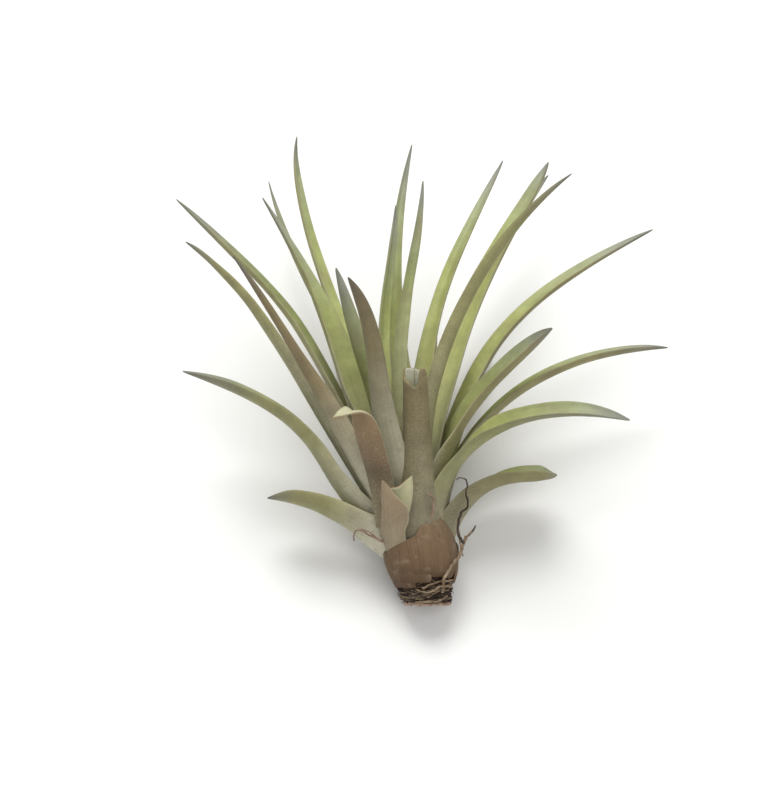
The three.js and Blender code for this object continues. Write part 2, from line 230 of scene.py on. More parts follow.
leafFinish = {
    # the grey of the bloom of scales, also laid on as painted light on the shaded feet of the leaves
    "bloomAndPaintedLight": "#cfcbb5",
    "blotchSize": 5,  # mm
    "blotchContrast": 0.13,
    "blush": "#86705a",  # brown that the green turns to in patches
    "blushSize": 9,  # mm
    "blushAmount": 0.22,
    "veinSpacing": 0.45,  # mm between the lengthwise veins
    "veinContrast": 0.045,
    "veinDepth": 0.1,  # mm
    "grainSize": 0.35,  # mm
    "grainContrast": 0.07,
    "scale": "#c3be9c",
    "scaleSpacing": 0.28,  # mm between the silvery scales, drawn at about twice the real size to show
    "scaleDepth": 0.06,  # mm
    "margin": "#aaa588",
    "marginAmount": (0.5, 0.08),  # at the foot and at the tip
    "shader": {
        "IOR": 1.42, "Sheen Roughness": 0.45, "Sheen Tint": linear("#dfe2d2"),
        "Subsurface Weight": 0.12,  # how much of the light spreads inside the leaf
        "Subsurface Radius": (0.9, 1.0, 0.3), "Subsurface Scale": 0.0006,
    },
}
# A speck shows where its random value is over "from". "size" goes from its full middle to its edge, in
# spacings, and "fade" from where it is as strong as the face says to where it is as weak as "tip".
specks = {
    "flakes": {"colour": "#d8d3bc", "spacing": 0.5, "from": 0.45, "size": (0.08, 0.34), "value": 1,
               "fade": (0.12, 0.5), "tip": 0.04},
    "spots": {"colour": "#5a4330", "spacing": 1.9, "from": 0.62, "size": (0.1, 0.26), "value": 0,
              "fade": (0.15, 0.6), "tip": 0},
}


def sheetSurface(name, low, high):  # a material that goes along a blade or a sheath, between two tones
    material, tree, shader = newSurface(name)
    share = addNode(tree, "UVMap", {"uv_map": "bladeShare"}, {})
    real = addNode(tree, "UVMap", {"uv_map": "bladeMm"}, {})
    split = addNode(tree, "SeparateXYZ", {}, {0: (share, 0)})
    tone = addNode(tree, "Attribute", {"attribute_name": "tone"}, {})
    plain = addNode(tree, "ValToRGB", {}, {0: (split, "Y")})
    strong = addNode(tree, "ValToRGB", {}, {0: (split, "Y")})
    fillRamp(plain.color_ramp, low)
    fillRamp(strong.color_ramp, high)
    base = addNode(tree, "Mix", {"data_type": "RGBA"}, {0: (tone, "Fac"), 6: (plain, 0), 7: (strong, 0)})
    return material, tree, shader, real, split, base


def finishSurface(tree, shader, colour, relief, values):
    tree.links.new(colour, shader.inputs["Base Color"])
    tree.links.new(relief.outputs[0], shader.inputs["Normal"])
    for name, value in values.items():
        shader.inputs[name].default_value = value


def overlay(tree, below, pattern, reach, amounts, colour):  # a colour laid on with a pattern
    amount = addNode(tree, "MapRange", {},
                     {0: pattern, 1: reach[0], 2: reach[1], 3: amounts[0], 4: amounts[1]})
    return addNode(tree, "Mix", {"data_type": "RGBA"},
                   {0: (amount, 0), 6: (below, 2), 7: linear(colour)})


def vary(tree, colour, pattern, contrast):  # makes a colour lighter and darker with a noise
    swing = addNode(tree, "MapRange", {},
                    {0: (pattern, 0), 1: 0.3, 2: 0.7, 3: 1 - contrast, 4: 1 + contrast})
    return addNode(tree, "Mix", {"data_type": "RGBA", "blend_type": "MULTIPLY"},
                   {0: 1, 6: (colour, 2), 7: (swing, 0)})


def strew(tree, below, real, along, kind, strength, patch=None):  # flakes or freckles over a colour
    speck = specks[kind]
    cell = addNode(tree, "TexVoronoi", {"voronoi_dimensions": "2D"},
                   {"Vector": (real, 0), "Scale": 1 / speck["spacing"], "Randomness": 1})
    shape = addNode(tree, "MapRange", {},
                    {0: (cell, "Distance"), 1: speck["size"][0], 2: speck["size"][1], 3: 1, 4: 0})
    place = addNode(tree, "MapRange", {}, {0: (along, "Y"), 1: speck["fade"][0], 2: speck["fade"][1],
                                           3: strength, 4: speck["tip"]})
    values = addNode(tree, "SeparateColor", {}, {0: (cell, "Color")})
    rare = addNode(tree, "Math", {"operation": "GREATER_THAN"},
                   {0: (values, speck["value"]), 1: speck["from"]})
    amount = addNode(tree, "Math", {"operation": "MULTIPLY"}, {0: (shape, 0), 1: (place, 0)})
    for factor in (patch, rare):
        if factor is not None:
            amount = addNode(tree, "Math", {"operation": "MULTIPLY"}, {0: (amount, 0), 1: (factor, 0)})
    return addNode(tree, "Mix", {"data_type": "RGBA"},
                   {0: (amount, 0), 6: (below, 2), 7: linear(speck["colour"])})


def leafSurface(name, face):
    own = leafFaces[face]
    material, tree, shader, real, split, base = sheetSurface(name, own["low"], own["high"])

    # a grey bloom of scales low on the leaf, partly real and partly painted light, since its amount is
    # raised on the feet of the leaves that lie in shade
    frost = addNode(tree, "Attribute", {"attribute_name": "frost"}, {})
    frostPlace = addNode(tree, "MapRange", {}, {0: (split, "Y"), 1: 0.1, 2: 0.6, 3: 1, 4: 0})
    frostAndPaintedLightAmount = addNode(tree, "Math", {"operation": "MULTIPLY"},
                          {0: (frost, "Fac"), 1: (frostPlace, 0)})
    bloomedAndLit = addNode(tree, "Mix", {"data_type": "RGBA"},
                      {0: (frostAndPaintedLightAmount, 0), 6: (base, 2), 7: linear(leafFinish["bloomAndPaintedLight"])})

    # slow blotches of lighter and darker green, and brown patches
    blotch = addNode(tree, "TexNoise", {"noise_dimensions": "2D"},
                     {"Vector": (real, 0), "Scale": 1 / leafFinish["blotchSize"], "Detail": 3,
                      "Roughness": 0.6})
    tinted = vary(tree, bloomedAndLit, blotch, leafFinish["blotchContrast"])
    blush = addNode(tree, "TexNoise", {"noise_dimensions": "2D"},
                    {"Vector": (real, 0), "Scale": 1 / leafFinish["blushSize"], "Detail": 2,
                     "Roughness": 0.5})
    blushed = overlay(tree, tinted, (blush, 0), (0.55, 0.78), (0, leafFinish["blushAmount"]),
                      leafFinish["blush"])

    # lengthwise veins: noise drawn out along the leaf
    stretch = addNode(tree, "Mapping", {},
                      {"Vector": (real, 0), "Scale": (1 / leafFinish["veinSpacing"], 0.05, 1)})
    vein = addNode(tree, "TexNoise", {"noise_dimensions": "2D"},
                   {"Vector": (stretch, 0), "Scale": 1, "Detail": 2, "Roughness": 0.5})
    veined = vary(tree, blushed, vein, leafFinish["veinContrast"])

    # fine even grain of the scaly skin
    grain = addNode(tree, "TexNoise", {"noise_dimensions": "2D"},
                    {"Vector": (real, 0), "Scale": 1 / leafFinish["grainSize"], "Detail": 3,
                     "Roughness": 0.7})
    grained = vary(tree, veined, grain, leafFinish["grainContrast"])

    # silvery scales, thicker on the outer face
    scale = addNode(tree, "TexVoronoi", {"voronoi_dimensions": "2D"},
                    {"Vector": (real, 0), "Scale": 1 / leafFinish["scaleSpacing"], "Randomness": 1})
    scaled = overlay(tree, grained, (scale, "Distance"), (0.1, 0.55), (own["scales"], 0),
                     leafFinish["scale"])

    # loose pale flakes, most of them low on the leaf and in the lighter blotches
    patch = addNode(tree, "MapRange", {}, {0: (blotch, 0), 1: 0.42, 2: 0.62, 3: 0.15, 4: 1})
    flaked = strew(tree, scaled, real, split, "flakes", own["flakes"], patch)

    # pale margins
    lowMargin, highMargin = leafFinish["marginAmount"]
    offMiddle = addNode(tree, "Math", {"operation": "SUBTRACT"}, {0: (split, "X"), 1: 0.5})
    marginDistance = addNode(tree, "Math", {"operation": "ABSOLUTE"}, {0: (offMiddle, 0)})
    marginLine = addNode(tree, "MapRange", {}, {0: (marginDistance, 0), 1: 0.45, 2: 0.49, 3: 0, 4: 1})
    marginFade = addNode(tree, "MapRange", {},
                         {0: (split, "Y"), 1: 0.25, 2: 0.65, 3: lowMargin, 4: highMargin})
    marginAmount = addNode(tree, "Math", {"operation": "MULTIPLY"},
                           {0: (marginLine, 0), 1: (marginFade, 0)})
    edged = addNode(tree, "Mix", {"data_type": "RGBA"},
                    {0: (marginAmount, 0), 6: (flaked, 2), 7: linear(leafFinish["margin"])})

    # dark freckles near the foot
    spotted = strew(tree, edged, real, split, "spots", own["spots"])

    ridge = addNode(tree, "Bump", {},
                    {"Height": (vein, 0), "Strength": 0.3, "Distance": leafFinish["veinDepth"] / 1000})
    fuzz = addNode(tree, "Bump", {},
                   {"Height": (scale, "Distance"), "Strength": 0.3,
                    "Distance": leafFinish["scaleDepth"] / 1000, "Normal": (ridge, 0)})
    finishSurface(tree, shader, spotted.outputs[2], fuzz,
                  {**leafFinish["shader"], "Roughness": own["roughness"], "Sheen Weight": own["sheen"]})
    return material


# living leaf: waxy skin under fine silvery scales, so it is matt with a soft grey bloom
skins = {face: leafSurface("leaf" + face.capitalize() + "Skin", face) for face in leafFaces}

sheathFinish = {
    "dark": [(0, "#4f3c2a"), (0.3, "#5f4b37"), (0.75, "#6c5741"), (1, "#6a5540")],
    "fair": [(0, "#644d34"), (0.25, "#755c43"), (0.7, "#7b664c"), (1, "#80735a")],
    "streak": "#58432f",
    "streakSpacing": 0.5,  # mm
    "streakAmount": 0.6,
    "streakDepth": 0.2,  # mm
    "pale": "#a3937a",
    "paleAmount": 0.45,
    "blotchSize": 3,  # mm
    "shader": {"Roughness": 0.72, "IOR": 1.4},
}


def drySheathSurface():
    material, tree, shader, real, _, base = sheetSurface("drySheathPaper", sheathFinish["dark"],
                                                         sheathFinish["fair"])
    stretch = addNode(tree, "Mapping", {},
                      {"Vector": (real, 0), "Scale": (1 / sheathFinish["streakSpacing"], 0.12, 1)})
    streak = addNode(tree, "TexNoise", {"noise_dimensions": "2D"},
                     {"Vector": (stretch, 0), "Scale": 1, "Detail": 3, "Roughness": 0.6})
    streaked = overlay(tree, base, (streak, 0), (0.5, 0.75), (0, sheathFinish["streakAmount"]),
                       sheathFinish["streak"])
    blotch = addNode(tree, "TexNoise", {"noise_dimensions": "2D"},
                     {"Vector": (real, 0), "Scale": 1 / sheathFinish["blotchSize"], "Detail": 4,
                      "Roughness": 0.65})
    paled = overlay(tree, streaked, (blotch, 0), (0.54, 0.78), (0, sheathFinish["paleAmount"]),
                    sheathFinish["pale"])
    ridge = addNode(tree, "Bump", {}, {"Height": (streak, 0), "Strength": 0.6,
                                       "Distance": sheathFinish["streakDepth"] / 1000})
    finishSurface(tree, shader, paled.outputs[2], ridge, sheathFinish["shader"])
    return material


fibreFinish = {
    "darkTo": 0.32,
    "lightFrom": 0.68,
    "depth": 0.3,  # mm
    "shader": {"Roughness": 0.85, "IOR": 1.4},
}


def fibreSurface(name, dark, light, size):  # dry woody fibre, blotched on Object coordinates; size in mm
    material, tree, shader = newSurface(name)
    place = addNode(tree, "TexCoord", {}, {})
    grain = addNode(tree, "TexNoise", {},
                    {"Vector": (place, "Object"), "Scale": 1000 / size, "Detail": 4, "Roughness": 0.65})
    colour = addNode(tree, "ValToRGB", {}, {0: (grain, 0)})
    fillRamp(colour.color_ramp, [(fibreFinish["darkTo"], dark), (fibreFinish["lightFrom"], light)])
    rough = addNode(tree, "Bump", {},
                    {"Height": (grain, 0), "Strength": 0.7, "Distance": fibreFinish["depth"] / 1000})
    finishSurface(tree, shader, colour.outputs[0], rough, fibreFinish["shader"])
    return material


drySheathPaper = drySheathSurface()  # old bracts dried to brown paper, streaked along
stemWood = fibreSurface("stemWood", "#1d130c", "#4c3625", 1.1)  # dark fibrous wood of the cut foot
rimCrust = fibreSurface("rimCrust", "#86695a", "#c9ad9a", 0.8)  # crumbly pale crust round the cut face
dryRoot = fibreSurface("dryRoot", "#5f4d38", "#a39077", 1.6)  # tan wiry root with darker patches
pinkRoot = fibreSurface("pinkRoot", "#765b4b", "#a58d7a", 1.6)  # young root, reddish and dull
darkRoot = fibreSurface("darkRoot", "#2c2422", "#5b4c43", 1.6)  # root ends dried nearly black
print("materials made")

# widths, channel and thickness along any leaf, as pairs of a share of its length and a value
bladeProfile = {
    "slim": [(0.22, 1.62), (0.35, 1.3), (0.5, 1.06), (0.7, 0.82), (0.85, 0.54), (0.95, 0.25), (1, 0.04)],
    "full": [(0.22, 1.55), (0.35, 1.25), (0.5, 1.08), (0.7, 1), (0.8, 0.92), (0.88, 0.76), (0.95, 0.48),
             (0.985, 0.22), (1, 0.04)],
    "curl": [(0.1, 52), (0.25, 50), (0.5, 62), (0.8, 68), (1, 76)],
    "roll": [(0, 0), (1, 0)],
    "thickness": [(0, 0.7), (0.2, 1), (0.6, 0.9), (0.9, 0.6), (1, 0.3)],  # share of the leaf's thickness
    "marginThin": 0.72,  # how much thinner the margins are
    "clasp": 56,
    "handle": 0.36,  # rise and fall of a leaf that names none
    "wave": 0.14,  # mm
    "mapBreadth": 1.4,  # breadth of the map in millimetres, in widths of the leaf
    "rows": 44,
    "columns": 14,
}

# Each leaf is a curve from the stem at the height "foot" to its tip, in millimetres and degrees. lean and
# tipLean turn its two ends off the upright, towards azimuth and tipAzimuth, and rise and fall say how far
# they reach, as shares of the distance. A tip given without its depth lies "above" the floor.
# width is multiplied by the slim profile or, as blunt goes from 0 to 1, by the full one, or else by the
# leaf's own breadth. clasp is half of the arc round the stem that the foot covers and curl half of the arc
# of the channel, and roll turns the channel towards the front. The leaf ends at the share "cut", less the
# edge, which goes across it from -1 to 1. skin and inside name the finishes of its outer and inner face,
# brown and bright are their tones, and the frost tone is the grey bloom on the outer one: partly the real
# bloom of scales, partly painted light, raised on the feet of the leaves that lie in shade, most on the
# left.
leaves = {
    "leaf_left_lowest": {
        "azimuth": -75, "foot": 11, "lean": 50.4, "rise": 0.348, "fall": 0.39, "tip": (-32.4, 23.9, 3),
        "tipLean": 83.7, "width": 7.4,
        "breadth": [(0.22, 1.55), (0.35, 1.3), (0.5, 1.15), (0.6, 1.1), (0.7, 1.1), (0.8, 1.06),
                    (0.88, 0.84), (0.95, 0.42), (1, 0.04)],
        "roll": [(0, -30), (0.5, -20), (0.8, -6), (1, 0)], "brown": 0.25, "frost": 0.85, "bright": 0.2,
    },
    "leaf_right_lowest": {
        "azimuth": 97, "foot": 12.6, "lean": 16.3, "rise": 0.7, "fall": 0.162, "tip": (33.5, 29.2, -3),
        "tipLean": 48.1, "width": 7.3,
        "breadth": [(0.22, 1.55), (0.35, 1.35), (0.5, 1.26), (0.7, 1.15), (0.8, 1.02), (0.88, 0.72),
                    (0.95, 0.34), (1, 0.04)],
        "roll": [(0, -30), (0.3, -14), (0.6, 6), (1, 12)], "brown": 0.5, "frost": 0, "bright": 0,
    },
    "leaf_left_arched": {
        "azimuth": -82, "foot": 14.5, "lean": 52.5, "rise": 0.465, "fall": 0.672,
        "tip": (-51.6, 52.6, 4.5), "tipLean": 70.6, "width": 6.99,
        "breadth": [(0.22, 1.45), (0.35, 1.26), (0.5, 1.2), (0.6, 1.22), (0.7, 1.12), (0.8, 1),
                    (0.88, 0.88), (0.95, 0.5), (1, 0.04)],
        "roll": [(0, -20), (0.4, -6), (0.7, 6), (1, 8)], "brown": 0.15, "frost": 0.6, "bright": 0.3,
    },
    "leaf_right_arched": {
        "azimuth": 40, "foot": 16, "lean": -2, "rise": 0.27, "fall": 0.58, "tip": (48.6, 41.6, 26),
        "tipLean": 103.3, "width": 6.2, "clasp": 44,
        "breadth": [(0.15, 1.05), (0.27, 1.02), (0.36, 1.12), (0.46, 1.4), (0.53, 1.5), (0.6, 1.27),
                    (0.7, 0.99), (0.85, 0.7), (0.95, 0.36), (1, 0.04)],
        "roll": [(0, -2), (0.25, 14), (0.45, 36), (0.6, 36), (1, 34)], "skin": "green", "brown": 0.9,
        "frost": 0.1, "bright": 0.6,
    },
    "leaf_front_cut": {
        "azimuth": 2, "foot": 14.5, "lean": 13, "tip": (-0.9, 86, 27), "tipLean": 24, "width": 4.7,
        "cut": 0.532, "columns": 44,
        "breadth": [(0.2, 1.5), (0.35, 1.25), (0.44, 1.06), (0.54, 0.97), (1, 0.9)],
        "curl": [(0.1, 52), (0.25, 62), (0.38, 100), (0.46, 180), (1, 184)],
        "edge": [(-1, 0.012), (-0.64, 0.006), (-0.52, 0.012), (-0.42, 0.034), (-0.22, 0.042),
                 (0, 0.058), (0.08, 0.045), (0.14, 0.016), (0.21, 0), (0.36, 0.004), (0.5, 0.02),
                 (0.62, 0.022), (1, 0.012)],
        "skin": "brown", "inside": "pale", "brown": 0.1, "frost": 0.05, "bright": 0.1,
    },
    "leaf_right_level": {
        "azimuth": 89, "foot": 16.5, "lean": -0.2, "rise": 0.329, "fall": 0.482, "tip": (59, 58.1, -5),
        "tipLean": 87.5, "width": 4.99, "blunt": 0.73, "roll": [(0, 0), (0.3, 4), (0.6, 10), (1, 12)],
        "brown": 0.4, "frost": 0.15, "bright": 0.3,
    },
    "leaf_left_narrow": {
        "azimuth": -76, "foot": 17, "lean": 32.3, "rise": 0.7, "fall": 0.266, "tip": (-51, 82.1, 1.5),
        "tipLean": 50.5, "width": 5.2,
        "breadth": [(0.22, 1.5), (0.35, 1.2), (0.5, 1.02), (0.7, 0.82), (0.85, 0.6), (0.95, 0.4),
                    (1, 0.04)],
        "roll": [(0, -10), (0.5, 0), (1, 8)], "brown": 0.15, "frost": 0.4, "bright": 0.3,
    },
    "leaf_left_front": {
        "azimuth": -52, "foot": 18.5, "lean": 44.8, "rise": 0.179, "fall": 0.422,
        "tip": (-39.8, 78.5, 17), "tipLean": 36.6, "width": 5,
        "breadth": [(0.22, 1.95), (0.35, 1.55), (0.45, 1.32), (0.55, 1.08), (0.65, 0.76), (0.78, 0.52),
                    (0.9, 0.34), (0.96, 0.2), (1, 0.04)],
        "brown": 1, "frost": 1, "bright": 0,
    },
    "leaf_right_short": {
        "azimuth": 74, "foot": 20, "lean": 3.9, "rise": 0.481, "fall": 0.341, "tip": (32.2, 62.4, 5),
        "tipLean": 43.2, "width": 7.6, "blunt": 0.8, "roll": [(0.1, 0), (0.4, 26), (1, 30)],
        "brown": 0.5, "frost": 0.15, "bright": 0.1,
    },
    "leaf_right_front": {
        "azimuth": 25, "foot": 24, "lean": -2.9, "rise": 0.378, "fall": 0.317, "tip": (36, 96.6, 20),
        "tipLean": 54.9, "width": 3,
        "breadth": [(0.22, 1.35), (0.35, 1.15), (0.5, 1.08), (0.7, 0.94), (0.85, 0.62), (0.95, 0.3),
                    (1, 0.04)],
        "roll": [(0, 0), (1, 8)], "brown": 0.25, "frost": 0.1, "bright": 0.3,
    },
    "leaf_front_curved": {
        "azimuth": -30, "foot": 22.2, "lean": 25.5, "rise": 0.639, "fall": 0.38,
        "tip": (-13.9, 73.4, 24), "tipLean": 44.6, "width": 4.2,
        "breadth": [(0.22, 1.6), (0.4, 1.22), (0.55, 1.08), (0.7, 0.95), (0.85, 0.74), (0.93, 0.5),
                    (0.975, 0.25), (1, 0.04)],
        "skin": "brown", "brown": 0, "frost": 0.45, "bright": 0,
    },
    "leaf_right_long": {
        "azimuth": 108, "foot": 23, "lean": 17.8, "rise": 0.445, "fall": 0.538,
        "tip": (55.9, 85.3, -9.7), "tipLean": 62, "width": 4.57, "blunt": 0.65,
        "roll": [(0.1, 0), (0.4, 15), (1, 15)], "brown": 0.5, "bright": 0.9,
    },
    "leaf_left_long": {
        "azimuth": -99, "foot": 22, "lean": 25.4, "rise": 0.657, "fall": 0.459,
        "tip": (-53.7, 92.3, -10), "tipLean": 44.7, "width": 4.1, "blunt": 0.85,
        "roll": [(0.1, 0), (0.4, 10), (1, 10)], "inside": "green", "brown": 0.2, "bright": 0.05,
    },
    "leaf_left_hidden": {
        "azimuth": -133, "foot": 24, "lean": 14, "rise": 0.4, "fall": 0.35, "tip": (-32.9, 97.2, -26),
        "tipLean": 17, "width": 2.35, "blunt": 0.21, "brown": 0.2, "bright": 0.2,
    },
    "leaf_right_twin_a": {
        "azimuth": 118, "foot": 26.3, "lean": 2.9, "rise": 0.472, "fall": 0.162,
        "tip": (31.9, 100.9, -12), "tipLean": 19.2, "width": 5.2,
        "breadth": [(0.22, 1.7), (0.35, 1.4), (0.5, 1.15), (0.65, 0.92), (0.8, 0.72), (0.9, 0.48),
                    (0.96, 0.25), (1, 0.04)],
        "roll": [(0, 10), (0.3, 24), (0.6, 16), (1, 10)], "brown": 0.2, "bright": 0.8,
    },
    "leaf_left_broad": {
        "azimuth": -92, "foot": 25.5, "lean": 22.9, "rise": 0.586, "fall": 0.552,
        "tip": (-33.8, 92.6, -8), "tipLean": 30.2, "width": 6,
        "breadth": [(0.22, 2), (0.35, 1.6), (0.5, 1.25), (0.7, 0.9), (0.85, 0.56), (0.95, 0.26),
                    (1, 0.04)],
        "roll": [(0, 10), (0.25, 26), (0.55, 30), (0.75, 20), (1, 12)], "brown": 0.1, "bright": 0.4,
    },
    "leaf_right_twin_b": {
        "azimuth": 162, "foot": 24, "lean": 13.5, "rise": 0.301, "fall": 0.307, "tip": (32.7, 99, -34),
        "tipLean": 46.4, "width": 3.66, "blunt": 0.35, "skin": "green", "inside": "green",
        "brown": 0.2, "bright": 0.4,
    },
    "leaf_inner_left": {
        "azimuth": -54, "foot": 27, "lean": 10.5, "rise": 0.398, "fall": 0.452,
        "tip": (-16.8, 76.1, 5), "tipLean": 11.3, "width": 6, "blunt": 0.4, "skin": "green",
        "brown": 0.3, "bright": 0.4,
    },
    "leaf_left_tall": {
        "azimuth": -123, "foot": 29.3, "lean": 21.7, "rise": 0.317, "fall": 0.208,
        "tip": (-26.3, 107.9, -30), "tipLean": -18.2, "width": 3.6, "brown": 0.2, "bright": 0.3,
    },
    "leaf_right_tall": {
        "azimuth": 150, "foot": 30, "lean": 1.9, "rise": 0.493, "fall": 0.396,
        "tip": (21.6, 101.6, -18), "tipLean": 30.5, "width": 3.11, "blunt": 0.41, "brown": 0.2,
        "bright": 0.7,
    },
    "leaf_top_right": {
        "azimuth": -62, "foot": 32, "lean": 5.8, "rise": 0.491, "fall": 0.322, "tip": (3, 96.3, -6),
        "tipLean": 5.6, "tipAzimuth": 100, "width": 3.78, "skin": "green", "brown": 0.1, "bright": 0.6,
    },
    "leaf_top_left": {
        "azimuth": -136, "foot": 31.4, "lean": 22.9, "rise": 0.457, "fall": 0.382,
        "tip": (-3.2, 91, -12), "tipLean": 6.7, "tipAzimuth": 130, "width": 3.06, "blunt": 0.33,
        "skin": "green", "brown": 0.2, "bright": 0.4,
    },
    "leaf_top_tall": {
        "azimuth": 179, "foot": 27.6, "lean": 15.9, "rise": 0.338, "fall": 0.491,
        "tip": (0.6, 105.7, -23), "tipLean": 13.4, "tipAzimuth": 108, "width": 3.32, "blunt": 0.19,
        "brown": 0.2, "bright": 0.5,
    },
    "leaf_back_low_right": {
        "azimuth": 155, "foot": 11, "lean": 22, "tip": (12, 36), "above": 4, "tipLean": 50,
        "width": 4.6, "blunt": 0.6, "brown": 0.7,
    },
    "leaf_back_low_left": {
        "azimuth": -171, "foot": 13.2, "lean": 24, "tip": (-11, 40), "above": 4, "tipLean": 50,
        "width": 4.4, "blunt": 0.5, "brown": 0.8,
    },
    "leaf_back_right": {
        "azimuth": 147, "foot": 16.5, "lean": 20, "tip": (19, 58), "above": 0, "tipLean": 44,
        "width": 4.4, "blunt": 0.4, "brown": 0.5,
    },
    "leaf_back_left": {
        "azimuth": -141, "foot": 16.8, "lean": 22, "tip": (-17.5, 55.5), "above": 0, "tipLean": 44,
        "width": 3.6, "blunt": 0.4, "brown": 0.4,
    },
    "leaf_back_middle": {
        "azimuth": 177, "foot": 18, "lean": 20, "tip": (-5, 66), "above": 2, "tipLean": 38,
        "width": 4.6, "blunt": 0.3, "brown": 0.4,
    },
    "leaf_back_high_right": {
        "azimuth": 164, "foot": 22, "lean": 16, "tip": (6, 66), "above": 8, "tipLean": 34,
        "width": 4.2, "blunt": 0.3, "brown": 0.2,
    },
    "leaf_back_high_left": {
        "azimuth": -151, "foot": 21, "lean": 22, "tip": (-12, 62), "above": 3.5, "tipLean": 38,
        "width": 4, "blunt": 0.3, "brown": 0.2,
    },
    "young_leaf_front": {
        "azimuth": 40, "foot": 33, "lean": 4, "tip": (0.5, 51, 3), "tipLean": 4, "width": 2.6,
        "clasp": 31, "brown": 0, "bright": 0.9,
    },
    "young_leaf_back": {
        "azimuth": 178, "foot": 33.2, "lean": 4, "tip": (1, 48, -3), "tipLean": 4, "width": 2.4,
        "clasp": 31, "brown": 0, "bright": 0.9,
    },
}


def leafCurve(leaf):  # the four points of its curve, and how far the foot is from the middle of the stem
    x, y = leaf["tip"][:2]
    tip = Vector((x, y, leaf["tip"][2] if len(leaf["tip"]) > 2 else restDepth(y) + leaf["above"]))
    stemRadius = profileAt(plant["stemProfile"], leaf["foot"])
    footRadius = stemRadius + plant["clearance"] + plant["leafThickness"] / 2
    foot = stemCentre(leaf["foot"]) + aroundStem(leaf["azimuth"], footRadius, 0)
    distance = (tip - foot).length
    tipAzimuth = leaf.get("tipAzimuth", math.degrees(math.atan2(tip.x - foot.x, tip.z - foot.z)))
    rise = leaf.get("rise", bladeProfile["handle"])
    fall = leaf.get("fall", bladeProfile["handle"])
    start = foot + headingAt(leaf["azimuth"], leaf["lean"]) * distance * rise
    end = tip - headingAt(tipAzimuth, leaf["tipLean"]) * distance * fall
    return foot, start, end, tip, footRadius


def curvePoint(points, t):  # place and direction
    a, b, c, d = points
    place = a * (1 - t) ** 3 + b * (3 * t * (1 - t) ** 2) + c * (3 * t * t * (1 - t)) + d * t ** 3
    along = (b - a) * (3 * (1 - t) ** 2) + (c - b) * (6 * t * (1 - t)) + (d - c) * (3 * t * t)
    return place, along.normalized()


def sectionAt(leaf, curve, t):  # middle, side and inward directions, radius and half angle of the channel
    middle, along = curvePoint(curve[:4], t)
    across = aroundStem(leaf["azimuth"] + 90, 1, 0)
    side = (across - along * across.dot(along)).normalized()
    rollSign = 1 if leaf["azimuth"] > 0 else -1
    roll = math.radians(rollSign * profileAt(leaf.get("roll", bladeProfile["roll"]), t))
    side = Quaternion(along, roll) @ side
    clasp = leaf.get("clasp", bladeProfile["clasp"])
    footBreadth = [(0, 2 * curve[4] * math.sin(math.radians(clasp)) / leaf["width"])]
    if "breadth" in leaf:
        breadth = profileAt(footBreadth + leaf["breadth"], t)
    else:
        slim = profileAt(footBreadth + bladeProfile["slim"], t)
        full = profileAt(footBreadth + bladeProfile["full"], t)
        breadth = slim + (full - slim) * leaf.get("blunt", 0)
    halfAngle = math.radians(profileAt([(0, clasp)] + leaf.get("curl", bladeProfile["curl"]), t))
    radius = leaf["width"] * breadth / 2 / math.sin(min(halfAngle, math.pi / 2))
    return middle, side, along.cross(side), radius, halfAngle


def shapeSheet(name, columns, rows, placeAt):  # a grid whose points are placed, u across and v along it
    deselectAll()
    bpy.ops.mesh.primitive_grid_add(x_subdivisions=columns, y_subdivisions=rows, size=1)
    sheet = bpy.context.object
    sheet.name = sheet.data.name = name
    sheet.data.uv_layers[0].name = "bladeShare"
    for vertex in sheet.data.vertices:
        vertex.co = laid(placeAt(round(vertex.co.x + 0.5, 5), round(vertex.co.y + 0.5, 5)))
    return sheet


def mapSheet(sheet, breadth, length, shift, alongAt):  # adds the map in millimetres to the map in shares
    share = sheet.data.uv_layers["bladeShare"]
    real = sheet.data.uv_layers.new(name="bladeMm")
    for loop in sheet.data.loops:
        u, v = share.data[loop.index].uv
        v = alongAt(u, v)
        share.data[loop.index].uv = (u, v)
        real.data[loop.index].uv = ((u - 0.5) * breadth + shift, v * length + shift)


def thinMargin(u, share):  # a blade gets thinner towards both of its margins
    return 1 - share * abs(2 * u - 1) ** 3


def thickenSheet(sheet, thickness, weightAt, skinPair, tones):  # tones of both faces, and the outer bloom, which is partly painted light
    group = sheet.vertex_groups.new(name="thickness")
    share = sheet.data.uv_layers["bladeShare"]
    weights = {}
    for loop in sheet.data.loops:
        weights[loop.vertex_index] = weightAt(*share.data[loop.index].uv)
    for index, weight in weights.items():
        group.add([index], weight, "REPLACE")
    for skin in skinPair:
        sheet.data.materials.append(skin)
    sheet.data.attributes.new("tone", "FLOAT", "FACE")
    sheet.data.attributes.new("frost", "FLOAT", "FACE")
    shell = sheet.modifiers.new("shell", "SOLIDIFY")
    shell.thickness = thickness / 1000
    shell.offset = 0
    shell.vertex_group = "thickness"
    shell.thickness_vertex_group = 0.05  # the thinnest share
    shell.material_offset = 1
    smooth = sheet.modifiers.new("smooth", "SUBSURF")
    smooth.levels = smooth.render_levels = 1
    applyModifiers(sheet)
    tone = sheet.data.attributes["tone"]
    frost = sheet.data.attributes["frost"]
    for polygon in sheet.data.polygons:
        tone.data[polygon.index].value = tones[1 if polygon.material_index else 0]
        frost.data[polygon.index].value = 0 if polygon.material_index else tones[2]
    bpy.ops.object.shade_smooth()


